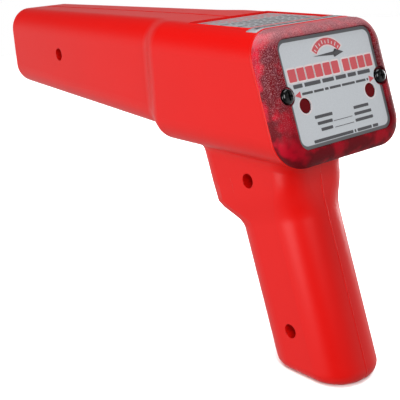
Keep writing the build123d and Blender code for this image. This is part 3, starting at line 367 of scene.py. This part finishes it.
looks = {
    "blackRubber": {"color": (0.018, 0.018, 0.018), "roughness": 0.75, "grain": 0.3, "depth": 0.01},
    "greyLabel": {"color": (0.52, 0.53, 0.56), "roughness": 0.42, "grain": 0.3, "depth": 0.003},
    "blackScrew": {"color": (0.012, 0.012, 0.013), "roughness": 0.22, "grain": 0.25, "depth": 0.004,
                   "sockets": {"Metallic": 0.55, "Coat_Weight": 0.5, "Coat_Roughness": 0.12}},
    "redLamp": {"color": (0.16, 0.003, 0.006), "roughness": 0.45, "grain": 0.6, "depth": 0.003,
                "sockets": {"Specular_IOR_Level": 0.08}},
    "blackPlastic": {"color": (0.022, 0.022, 0.024), "roughness": 0.45, "grain": 0.3, "depth": 0.01},
    "blackTrigger": {"color": (0.02, 0.02, 0.022), "roughness": 0.38, "grain": 0.28, "depth": 0.012},
    "blackBezel": {"color": (0.016, 0.016, 0.018), "roughness": 0.33, "grain": 0.3, "depth": 0.009},
    "whitePlastic": {"color": (0.78, 0.76, 0.72), "roughness": 0.5, "grain": 0.4, "depth": 0.008},
    "ferrite": {"color": (0.06, 0.06, 0.065), "roughness": 0.7, "grain": 0.2, "depth": 0.02},
    "windingTape": {"color": (0.62, 0.36, 0.05), "roughness": 0.3, "grain": 0.8, "depth": 0.02},
    "capacitorSleeve": {"color": (0.015, 0.02, 0.07), "roughness": 0.3, "grain": 0.9, "depth": 0.01},
    "wireSleeve": {"color": (0.36, 0.016, 0.014), "roughness": 0.5, "grain": 0.5, "depth": 0.006},
    "brass": {"color": (0.72, 0.46, 0.16), "roughness": 0.32, "grain": 0.3, "depth": 0.01,
              "sockets": {"Metallic": 1.0}},
    "nickel": {"color": (0.68, 0.66, 0.61), "roughness": 0.28, "grain": 0.3, "depth": 0.006,
               "sockets": {"Metallic": 1.0}},
    "springSteel": {"color": (0.5, 0.5, 0.51), "roughness": 0.3, "grain": 0.2, "depth": 0.004,
                    "sockets": {"Metallic": 1.0}},
    "aluminium": {"color": (0.72, 0.73, 0.74), "roughness": 0.35, "grain": 0.25, "depth": 0.008,
                  "sockets": {"Metallic": 1.0}},
    "redInk": {"color": (0.78, 0.12, 0.14), "roughness": 0.4, "grain": 0.4, "depth": 0.002},
    "paleInk": {"color": (0.95, 0.84, 0.85), "roughness": 0.4, "grain": 0.4, "depth": 0.002},
    "darkInk": {"color": (0.10, 0.10, 0.11), "roughness": 0.42, "grain": 0.4, "depth": 0.002},
}


clearLooks = {
    "clearLens": {"color": (0.97, 0.985, 1.0), "roughness": 0.015},
    "tubeGlass": {"color": (0.93, 0.96, 1.0), "roughness": 0.01},
}


# Clear plastic or glass, with a slight uneven haze.
def clearMaterial(name, color, roughness):
    material, tree, shader = startMaterial(name, color, Roughness=roughness, Transmission_Weight=1.0,
                                           IOR=1.49)
    haze = grain(tree, 2.5, 3.0)
    tree.links.new(ramp(tree, haze, *noiseSpan, roughness, roughness + 0.03), shader.inputs["Roughness"])
    return material


mirrorLook = {"color": (0.88, 0.88, 0.9), "roughness": (0.05, 0.12), "wave": 5.0, "waveDepth": 0.02,
              "haze": 1.5}


# Bright metal coating that waves a little and is hazy in places.
def mirrorMaterial(look):
    material, tree, shader = startMaterial("mirrorBowl", look["color"], Metallic=1.0,
                                           Roughness=look["roughness"][0])
    addBump(tree, shader, grain(tree, look["wave"], 1.0), look["waveDepth"])
    haze = ramp(tree, grain(tree, look["haze"]), *noiseSpan, *look["roughness"])
    tree.links.new(haze, shader.inputs["Roughness"])
    return material


boardLook = {"mask": (0.015, 0.10, 0.03), "track": (0.04, 0.22, 0.07), "roughness": 0.35, "cell": 6.25,
             "trackSpan": (0.42, 0.46), "trackDepth": 0.03}


# Solder mask with paler tracks along the edges of square cells, whose size is in millimetres.
def boardMaterial(look):
    material, tree, shader = startMaterial("greenBoard", look["mask"], Roughness=look["roughness"])
    cells = addNode(tree, "TexVoronoi", {"distance": "CHEBYCHEV", "feature": "F1"},
                    Scale=1 / (look["cell"] * mm))
    tree.links.new(objectPoint(tree), cells.inputs["Vector"])
    edge = ramp(tree, cells.outputs["Distance"], *look["trackSpan"], 0.0, 1.0)
    tree.links.new(mixColors(tree, edge, look["mask"], look["track"]), shader.inputs["Base Color"])
    addBump(tree, shader, edge, look["trackDepth"])
    return material


jacketLook = {"dark": (0.05, 0.05, 0.06), "band": (0.55, 0.38, 0.10), "roughness": 0.28, "coat": 0.4,
              "waves": 6.0, "bandSpan": (0.62, 0.66), "grain": 0.8, "depth": 0.01}


# Battery sleeve: a band of colour where a wave along the cell is high.
def jacketMaterial(look):
    material, tree, shader = startMaterial("batteryJacket", look["dark"], Roughness=look["roughness"],
                                           Coat_Weight=look["coat"])
    wave = addNode(tree, "TexWave", {"bands_direction": "X", "wave_profile": "SIN"}, Scale=look["waves"])
    tree.links.new(objectPoint(tree), wave.inputs["Vector"])
    bands = ramp(tree, wave.outputs["Fac"], *look["bandSpan"], 0.0, 1.0)
    tree.links.new(mixColors(tree, bands, look["dark"], look["band"]), shader.inputs["Base Color"])
    addBump(tree, shader, grain(tree, look["grain"]), look["depth"])
    return material


materials = {name: grainyMaterial(name, look) for name, look in looks.items()}
materials["redShell"] = redShellMaterial(redShellLook)
materials["smokedRedCover"] = coverMaterial(coverLook)
materials["rearLabelFilm"] = rearLabelMaterial(labelLook)
materials |= {name: clearMaterial(name, **look) for name, look in clearLooks.items()}
materials["mirrorBowl"] = mirrorMaterial(mirrorLook)
materials["greenBoard"] = boardMaterial(boardLook)
materials["batteryJacket"] = jacketMaterial(jacketLook)

finishes = {
    "redShell": ("left_housing", "right_housing"),
    "smokedRedCover": ("rear_cover",),
    "rearLabelFilm": ("rear_label",),
    "greyLabel": ("top_label",),
    "blackRubber": ("rear_cover_gasket", "lens_seal"),
    "blackScrew": ("rear_cover_screws", "housing_screws"),
    "brass": ("cover_inserts",),
    "redLamp": ("left_indicator", "right_indicator"),
    "greenBoard": ("circuit_board", "indicator_board"),
    "batteryJacket": ("normal_batteries", "reserve_batteries"),
    "blackPlastic": ("battery_tray", "upper_switch", "lower_switch", "pickup_socket", "trigger_coil",
                     "power_transistor"),
    "nickel": ("battery_contacts", "switch_terminals", "socket_contacts", "socket_nut", "tube_electrodes"),
    "springSteel": ("battery_springs", "upper_trigger_spring", "lower_trigger_spring", "switch_bracket"),
    "blackTrigger": ("upper_trigger", "lower_trigger"),
    "whitePlastic": ("upper_push_rod", "lower_push_rod", "flash_tube_holder"),
    "ferrite": ("transformer_core",),
    "windingTape": ("transformer_winding",),
    "capacitorSleeve": ("storage_capacitor",),
    "aluminium": ("heat_sink",),
    "blackBezel": ("lens_bezel",),
    "clearLens": ("lens",),
    "mirrorBowl": ("reflector",),
    "tubeGlass": ("flash_tube",),
    "wireSleeve": ("battery_lead", "flash_lead", "socket_lead", "switch_lead"),
}
for finish, names in finishes.items():
    for name in names:
        mesh = nodes[name].data
        mesh.materials.clear()
        mesh.materials.append(materials[finish])
plainNodes = sorted(set(nodes) - {n for names in finishes.values() for n in names} - {"strip_label"})
print("materials:", len(materials), "nodes left without one:", plainNodes)


printLift = 0.05  # the ink's height, in millimetres
titleLook = {"bars": ((-26.4, 4.6, 6), (7.2, 26.4, 4)), "gap": 0.9, "middle": 8.0, "tall": 5.4,
             "corner": 0.5, "outline": 0.7}


# Bars side by side as prints: each is a rounded rectangle over (left, width), and grow widens it all round.
def barLine(spans, middle, tall, radius, place, lift, grow=0.0):
    made = []
    for left, width in spans:
        corner = min(radius, tall / 2 - 0.01) + grow
        outline = roundedOutline(width + 2 * grow, tall + 2 * grow, corner, 5)
        made.append(printPatch(outline, (left + width / 2, middle), place, lift))
    return made


# Bars that repeat a pattern of lengths until a line is full, as (left, width) pairs.
def dashes(start, end, pattern, gap):
    spans, left, count = [], start, 0
    while left < end - 0.5:
        width = min(pattern[count % len(pattern)], end - left)
        spans.append((left, width))
        left += width + gap
        count += 1
    return spans


# Equal blocks in groups, as (left, width) pairs: each group is (start, end, count).
def titleSpans(look):
    spans = []
    for start, end, count in look["bars"]:
        pitch = (end - start + look["gap"]) / count
        spans.extend((start + step * pitch, pitch - look["gap"]) for step in range(count))
    return spans


emblemLook = {"centre": (-0.3, 9.6), "outer": 11.6, "inner": 8.6, "spread": 52.0, "outline": 0.7,
              "ticks": 9, "tickStart": 9.2, "tickEnds": (10.4, 11.0), "tickHalfWidth": 0.22}


# A fan-shaped band: rows step across its width and columns turn about its centre.
def arcBand(look, grow, lift):
    spread = math.radians(look["spread"]) + grow / look["outer"]
    turn = np.linspace(math.pi / 2 + spread, math.pi / 2 - spread, 40)
    spokes = np.stack([np.cos(turn), np.sin(turn)], axis=-1)
    rows = []
    for radius, height in ((look["outer"] + grow, 0.0), (look["outer"] + grow, lift),
                           (look["inner"] - grow, lift), (look["inner"] - grow, 0.0)):
        rows.append(onLabel(np.array(look["centre"]) + radius * spokes, height))
    grid = np.stack(rows)
    ends = [surface(np.stack([grid[[0, 3], i], grid[[1, 2], i]])) for i in (0, -1)]
    return [surface(grid, wrapRows=True)] + ends


# A short spoke of the scale, out to a radius.
def tickMark(look, angle, far, lift):
    near, halfWidth = look["tickStart"], look["tickHalfWidth"]
    spoke = np.array([math.cos(angle), math.sin(angle)])
    side = np.array([-spoke[1], spoke[0]])
    outline = np.array([near * spoke - halfWidth * side, far * spoke - halfWidth * side,
                        far * spoke + halfWidth * side, near * spoke + halfWidth * side])
    return printPatch(outline, look["centre"], onLabel, lift)


pointerLook = {"outline": ((-9.4, 14.1), (5.2, 14.9), (4.6, 15.9), (9.6, 13.9), (3.4, 12.3), (3.8, 13.2))}
barCorner = 0.3
barLook = {
    "subtitle": {"middle": 3.3, "tall": 1.7, "ends": (-25.0, 23.6), "lengths": (5.4, 9.8, 7.2, 6.6),
                 "gap": 1.2},
    "note": {"middle": -0.3, "tall": 1.05, "ends": (-21.0, 21.2), "lengths": (6.4, 6.0, 2.2, 7.0, 8.4),
             "gap": 0.8},
    "foot": {"middle": -21.0, "tall": 1.35, "ends": (-20.7, 21.5), "lengths": (24.6, 1.0, 9.5, 3.5),
             "gap": 0.9},
}
tableLook = {
    "tall": 1.35, "lineTall": 0.28, "lineCorner": 0.1, "line": (-6.5, 12.2), "lines": (-14.4, -17.2),
    "rows": ((-11.1, ((-17.0, 10.8), (7.6, 9.8))), (-13.9, ((-16.2, 9.2), (7.2, 11.2))),
             (-16.7, ((-14.9, 7.2), (7.0, 11.6)))),
}
arrowLook = {"tip": 25.3, "base": 21.9, "middle": -0.4, "half": 1.5}
ringLook = {"outer": 3.95, "inner": 3.4}

red, pale, dark = [], [], []

# the two groups of blocks in their pale outlines
for ink, grow, layer in ((pale, titleLook["outline"], 1), (red, 0.0, 2)):
    ink.extend(barLine(titleSpans(titleLook), titleLook["middle"], titleLook["tall"], titleLook["corner"],
                       onLabel, layer * printLift, grow))

# the scale with its ticks, and the pointer under it
pale.extend(arcBand(emblemLook, emblemLook["outline"], printLift))
red.extend(arcBand(emblemLook, 0.0, 2 * printLift))
spreadAngle = math.radians(emblemLook["spread"])
for step in range(emblemLook["ticks"]):
    angle = math.pi / 2 + spreadAngle * (1 - 2 * (step + 0.5) / emblemLook["ticks"])
    pale.append(tickMark(emblemLook, angle, emblemLook["tickEnds"][step % 2], 3 * printLift))
dark.append(printPatch(np.array(pointerLook["outline"]), (0.0, 0.0), onLabel, 2 * printLift))

# lines of plain bars, the table's lines, the arrows and a ring round each lamp
for look in barLook.values():
    spans = dashes(*look["ends"], look["lengths"], look["gap"])
    dark.extend(barLine(spans, look["middle"], look["tall"], barCorner, onLabel, printLift))
for middle, spans in tableLook["rows"]:
    dark.extend(barLine(spans, middle, tableLook["tall"], barCorner, onLabel, printLift))
for middle in tableLook["lines"]:
    dark.extend(barLine([tableLook["line"]], middle, tableLook["lineTall"], tableLook["lineCorner"], onLabel,
                        printLift))
for sign in (-1, 1):
    arrow = np.array([(sign * arrowLook["tip"], arrowLook["middle"]),
                      (sign * arrowLook["base"], arrowLook["middle"] - arrowLook["half"]),
                      (sign * arrowLook["base"], arrowLook["middle"] + arrowLook["half"])])
    red.append(printPatch(arrow, (0.0, 0.0), onLabel, printLift))
for node in ("left_indicator", "right_indicator"):
    low, high = (np.array(c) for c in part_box(node))
    middle = (low + high) / 2 - labelCentre
    centre = (float(middle @ rightDir) / mm, float(middle @ upDir) / mm)
    pale.append(printRing(roundOutline(ringLook["outer"]), roundOutline(ringLook["inner"]), centre, onLabel,
                          printLift))
addPiece("labelRedPrint", red, materials["redInk"], smooth=False)
addPiece("labelPalePrint", pale, materials["paleInk"], smooth=False)
addPiece("labelDarkPrint", dark, materials["darkInk"], smooth=False)
print("rear label printed")


partingLook = {"halfWidth": 0.42, "height": 0.22, "aside": 0.05, "steps": 90,
               "topStart": 0.8, "underStart": 40.0, "muzzleGap": 0.3,
               "behind": (36.2, 138.0), "front": (50.0, 118.0)}


# A raised bead where the halves meet, laid from above, below, behind and before and kept on the middle plane.
def partingBeads(look):
    lowBody, highBody = (np.array(c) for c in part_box("left_housing"))
    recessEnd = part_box("top_label")[1][0]
    aside = np.array([0.0, look["aside"] * mm, 0.0])
    muzzleEnd = highBody[0] - look["muzzleGap"] * mm
    made = []

    def laid(starts, direction):
        places, outward = layOn(starts, np.broadcast_to(direction, starts.shape))
        places[:, 1] = 0.0
        outward[:, 1] = 0.0
        outward /= np.linalg.norm(outward, axis=1)[:, None]
        made.append(bead(places, outward, look["halfWidth"] * mm, look["height"] * mm))

    # along the top and the underside, then down the back and the front of the grip
    for first, height, fall in ((look["topStart"], highBody[2] + 50 * mm, -1.0),
                                (look["underStart"], lowBody[2], 1.0)):
        reach = np.linspace(recessEnd + first * mm, muzzleEnd, look["steps"])
        flat = np.zeros_like(reach)
        laid(np.stack([reach, flat, flat + height], axis=-1) + aside, np.array([0.0, 0.0, fall]))
    for drops, steps, away in ((look["behind"], 120, 60 * mm), (look["front"], look["steps"], -160 * mm)):
        drop = np.linspace(*drops, steps)[:, None] * mm
        laid(labelCentre + away * outDir - drop * upDir + aside, -math.copysign(1.0, away) * outDir)
    return made


addPiece("partingLine", partingBeads(partingLook), materials["redShell"])

rimLook = {"halfWidth": 0.45, "height": 0.28, "corner": 1.2, "grow": 0.75, "steps": 160}


# The rim round the recess: a rounded rectangle in even steps, laid down on the top from above.
def recessRim(look):
    low, high = (np.array(c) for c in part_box("top_label"))
    width = (high[0] - low[0]) / mm + 2 * look["grow"]
    depth = (high[1] - low[1]) / mm + 2 * look["grow"]
    outline = roundedOutline(width, depth, look["corner"], 6)
    spaced = np.concatenate([outline, outline[:1]])
    length = np.concatenate([[0.0], np.cumsum(np.linalg.norm(np.diff(spaced, axis=0), axis=1))])
    even = np.linspace(0, length[-1], look["steps"], endpoint=False)
    flat = np.stack([np.interp(even, length, spaced[:, i]) for i in (0, 1)], axis=-1)
    starts = np.zeros((len(flat), 3))
    starts[:, 0] = (low[0] + high[0]) / 2 + flat[:, 0] * mm
    starts[:, 1] = flat[:, 1] * mm
    starts[:, 2] = high[2] + 50 * mm
    places, outward = layOn(starts, np.broadcast_to([0.0, 0.0, -1.0], starts.shape))
    return [bead(places, outward, look["halfWidth"] * mm, look["height"] * mm, closed=True)]


addPiece("recessRim", recessRim(rimLook), materials["redShell"])

seamLook = {"depth": 8.15, "halfWidth": 0.55, "height": 0.22, "steps": 260}


# The rolled edge of the housing along the cover's seam, found by rays in from all round.
def seamEdge(look):
    centre = labelCentre - look["depth"] * mm * outDir
    turn = np.linspace(0, 2 * math.pi, look["steps"], endpoint=False)[:, None]
    spokes = np.cos(turn) * rightDir + np.sin(turn) * upDir
    places, outward = layOn(centre + 90 * mm * spokes, -spokes)
    return [bead(places, outward, look["halfWidth"] * mm, look["height"] * mm, closed=True)]


addPiece("seamEdge", seamEdge(seamLook), materials["redShell"])
print("beads laid")


stripLook = {"reach": (17.0, 23.4), "span": 29.5, "corner": 13.0, "sheet": 0.16, "sunk": -0.02,
             "marks": {"reach": (19.3, 21.2), "ends": (-27.0, 27.0), "lengths": (3.4, 2.2, 4.6, 1.8),
                       "gap": 1.2, "lift": 0.05, "sunk": 0.06}}


# Across the top by arc length, in millimetres: flat to the corner, then round it, at a lift off the shell.
def onTop(reach, across, lift):
    start = Vector((labelCentre[0] + reach.mean() * mm, 0.5 * mm, labelCentre[2]))
    top = housingTree.ray_cast(start + Vector((0, 0, 60 * mm)), Vector((0, 0, -1)))[0].z
    half = housingTree.ray_cast(start + Vector((0, 80 * mm, 0)), Vector((0, -1, 0)))[0].y
    lowTop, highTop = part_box("top_label")
    slope = (highTop[2] - lowTop[2] - labelSheet) / (highTop[0] - lowTop[0])
    corner = stripLook["corner"] * mm
    flat = half - corner
    over = np.maximum(np.abs(across) * mm - flat, 0.0) / corner
    radius = corner + lift * mm
    y = np.sign(across) * (np.minimum(np.abs(across) * mm, flat) + radius * np.sin(over))
    z = top + (reach - reach.mean()) * mm * slope + radius * np.cos(over) - corner
    return np.stack([labelCentre[0] + reach * mm, y, z], axis=-1)


# A sheet between two lifts over a reach and a span, closed at its long and short edges.
def stripSheet(rows, columns, lift, under, reach, span):
    r, c = np.meshgrid(np.linspace(*reach, rows), np.linspace(*span, columns), indexing="ij")
    topSide = onTop(r, c, lift)
    lowSide = onTop(r, c, under)
    joined = np.concatenate([topSide, lowSide[::-1]], axis=0)
    ends = [surface(np.stack([topSide[:, i], lowSide[:, i]])) for i in (0, -1)]
    return [surface(joined, wrapRows=True)] + ends


strip = addPiece("stripLabel", stripSheet(4, 80, stripLook["sheet"], stripLook["sunk"], stripLook["reach"],
                                          (-stripLook["span"], stripLook["span"])),
                 materials["greyLabel"])
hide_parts("strip_label")
stripMarks = []
marks = stripLook["marks"]
for left, width in dashes(*marks["ends"], marks["lengths"], marks["gap"]):
    stripMarks.extend(stripSheet(2, 12, stripLook["sheet"] + marks["lift"],
                                 stripLook["sheet"] - marks["sunk"], marks["reach"], (left, left + width)))
addPiece("stripPrint", stripMarks, materials["darkInk"], smooth=False)


# A point in millimetres from the top label's middle, x forward and y to the left, raised off it.
def onTopLabel(flat, lift):
    low, high = (np.array(c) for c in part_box("top_label"))
    middle = (low + high) / 2
    slope = (high[2] - low[2] - labelSheet) / (high[0] - low[0])
    height = middle[2] + labelSheet / 2 + flat[:, 0] * mm * slope + lift * mm
    return np.stack([middle[0] + flat[:, 0] * mm, middle[1] + flat[:, 1] * mm, height], axis=-1)


topLook = {"rows": 9, "redRows": 3, "first": 16.5, "pitch": 4.0, "start": -21.5, "end": 21.0, "step": 4.0,
           "lengths": (5.5, 3.0, 6.5, 4.0), "gap": 1.6, "tall": 1.3}
topRed, topDark = [], []
for row in range(topLook["rows"]):
    forward = topLook["first"] - row * topLook["pitch"]

    # the bars run across the label, so their two directions change places
    def onRow(flat, lift, forward=forward):
        return onTopLabel(np.stack([forward + flat[:, 1], flat[:, 0]], axis=-1), lift)

    spans = dashes(topLook["start"], topLook["end"] - (row % 3) * topLook["step"], topLook["lengths"],
                   topLook["gap"])
    made = barLine(spans, 0.0, topLook["tall"], barCorner, onRow, printLift)
    (topRed if row < topLook["redRows"] else topDark).extend(made)
addPiece("topRedPrint", topRed, materials["redInk"], smooth=False)
addPiece("topDarkPrint", topDark, materials["darkInk"], smooth=False)
print("top labels made")


wireLook = {"radius": 0.18, "turns": 7, "gap": 0.1, "ends": 1.5, "steps": 28}


# A fine wire wound round the flash tube: a helix just clear of the glass.
def tubeWire(look):
    low, high = (np.array(c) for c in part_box("flash_tube"))
    middle = (low + high) / 2
    radius = (high[2] - low[2]) / 2 + (look["radius"] + look["gap"]) * mm
    share = np.linspace(0, 1, look["turns"] * look["steps"])
    turn = share * look["turns"] * 2 * math.pi
    outward = np.stack([np.zeros_like(turn), np.cos(turn), np.sin(turn)], axis=-1)
    route = middle + radius * outward
    route[:, 0] = low[0] + look["ends"] * mm + share * (high[0] - low[0] - 2 * look["ends"] * mm)
    return [bead(route, outward, look["radius"] * mm, look["radius"] * mm, steps=8)]


addPiece("tubeTriggerWire", tubeWire(wireLook), materials["springSteel"])

ribLook = {"count": 5, "pitch": 1.5, "radius": 0.28, "margin": 4.2, "steps": 24}


# Ribs across a trigger's finger face, each a bead laid on the trigger's own surface.
def triggerRibs(node, look):
    mesh = nodes[node].data
    places = [tuple(v.co) for v in mesh.vertices]
    tree = BVHTree.FromPolygons(places, [tuple(p.vertices) for p in mesh.polygons])
    low, high = (np.array(c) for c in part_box(node))
    middle = (low + high) / 2
    half = (high[1] - low[1]) / 2 - look["margin"] * mm
    made = []
    for step in range(look["count"]):
        rise = (step - (look["count"] - 1) / 2) * look["pitch"] * mm
        across = np.linspace(-half, half, look["steps"])[:, None]
        starts = middle - 30 * mm * outDir + rise * upDir + across * rightDir
        found = [tree.ray_cast(Vector(s), Vector(outDir)) for s in starts]
        route = np.array([hit[0] for hit in found])
        outward = np.array([hit[1] for hit in found])
        made.append(bead(route, outward, look["radius"] * mm, look["radius"] * mm, steps=8))
    return made


for word in ("upper", "lower"):
    addPiece(word + "TriggerRibs", triggerRibs(word + "_trigger", ribLook), materials["blackTrigger"],
             body=word + "_trigger_group")
print("small parts made")


stageLook = {"floor": (0.9, 0.9, 0.9), "floorHalf": 1.3, "darkWay": (-0.66, 0.70, 0.27),
             "darkSpan": (0.35, 0.8), "bright": 0.70, "dark": 0.0, "zenithSpan": (0.05, 0.4), "zenith": 0.08,
             "nadirSpan": (-0.9, -0.3), "nadir": 0.45}
lampLooks = {
    "key": {"place": (0.08, 0.80, 0.16), "aim": (0.08, 0.0, 0.11), "size": 0.45, "power": 4.3},
    "front": {"place": (-0.55, 0.30, 0.45), "aim": (0.0, 0.0, 0.11), "size": 0.34, "power": 2.5},
    "top": {"place": (0.06, -0.12, 0.90), "aim": (0.06, 0.0, 0.12), "size": 0.50, "power": 3.2},
    "side": {"place": (0.10, -0.80, 0.14), "aim": (0.06, 0.0, 0.09), "size": 0.40, "power": 3.2},
}
overheadLook = {"place": (0.1, 0.0, 1.6), "aim": (0.1, 0.0, 0.0), "size": 2.2, "power": 95.0}


# White to the camera. To the object, the world is bright all round but overhead, below and in one direction.
def addWorld(look):
    world = bpy.data.worlds.new("studio")
    world.use_nodes = True
    tree = world.node_tree
    tree.nodes.clear()
    direction = addNode(tree, "TexCoord").outputs["Generated"]
    towards = addNode(tree, "VectorMath", {"operation": "DOT_PRODUCT"})
    tree.links.new(direction, towards.inputs[0])
    towards.inputs[1].default_value = look["darkWay"]
    split = addNode(tree, "SeparateXYZ")
    tree.links.new(direction, split.inputs[0])
    level = ramp(tree, towards.outputs["Value"], *look["darkSpan"], look["bright"], look["dark"])
    above = ramp(tree, split.outputs["Z"], *look["zenithSpan"], 1.0, look["zenith"])
    below = ramp(tree, split.outputs["Z"], *look["nadirSpan"], look["nadir"], 1.0)
    strength = calculate(tree, "MULTIPLY", calculate(tree, "MULTIPLY", level, above), below)
    lit = addNode(tree, "Background", Color=(1, 1, 1, 1))
    tree.links.new(strength, lit.inputs["Strength"])
    seen = addNode(tree, "Background", Color=(1, 1, 1, 1))
    mix = addNode(tree, "MixShader")
    tree.links.new(addNode(tree, "LightPath").outputs["Is Camera Ray"], mix.inputs[0])
    tree.links.new(lit.outputs[0], mix.inputs[1])
    tree.links.new(seen.outputs[0], mix.inputs[2])
    tree.links.new(mix.outputs[0], addNode(tree, "OutputWorld").inputs["Surface"])
    bpy.context.scene.world = world


# A square area lamp turned towards its aim.
def addLamp(name, place, aim, size, power):
    data = bpy.data.lights.new(name, "AREA")
    data.size = size
    data.energy = power
    lamp = bpy.data.objects.new(name, data)
    lamp.location = place
    lamp.rotation_euler = (Vector(aim) - Vector(place)).to_track_quat("-Z", "Y").to_euler()
    bpy.context.scene.collection.objects.link(lamp)
    return lamp


# A square floor, the lamps, and a wide lamp overhead that lights the floor alone.
def addStage(look):
    size = look["floorHalf"]
    mesh = bpy.data.meshes.new("floor")
    corners = [(-size, -size, 0), (size, -size, 0), (size, size, 0), (-size, size, 0)]
    mesh.from_pydata(corners, [], [(0, 1, 2, 3)])
    floor = bpy.data.objects.new("floor", mesh)
    bpy.context.scene.collection.objects.link(floor)
    material, tree, shader = startMaterial("paleFloor", look["floor"], Roughness=0.8)
    mesh.materials.append(material)
    floor.visible_diffuse = False
    floor.visible_glossy = False
    for name, lampLook in lampLooks.items():
        addLamp(name, **lampLook)
    overhead = addLamp("overhead", **overheadLook)
    lit = bpy.data.collections.new("floorOnly")
    lit.objects.link(floor)
    overhead.light_linking.receiver_collection = lit


cameraLook = {"place": (-0.2584, 0.2788, 0.2042), "turn": (72.889, 3.695, -129.676), "lens": 77.57,
              "sensor": 36.0}


# The camera, turned by angles in degrees.
def addCamera(look):
    data = bpy.data.cameras.new("camera")
    data.lens = look["lens"]
    data.sensor_width = look["sensor"]
    data.clip_start = 10 * mm
    camera = bpy.data.objects.new("camera", data)
    camera.location = look["place"]
    camera.rotation_euler = [math.radians(a) for a in look["turn"]]
    bpy.context.scene.collection.objects.link(camera)
    bpy.context.scene.camera = camera
    bpy.context.scene.view_settings.view_transform = "Standard"


addWorld(stageLook)
addStage(stageLook)
addCamera(cameraLook)
print("stage and camera set")
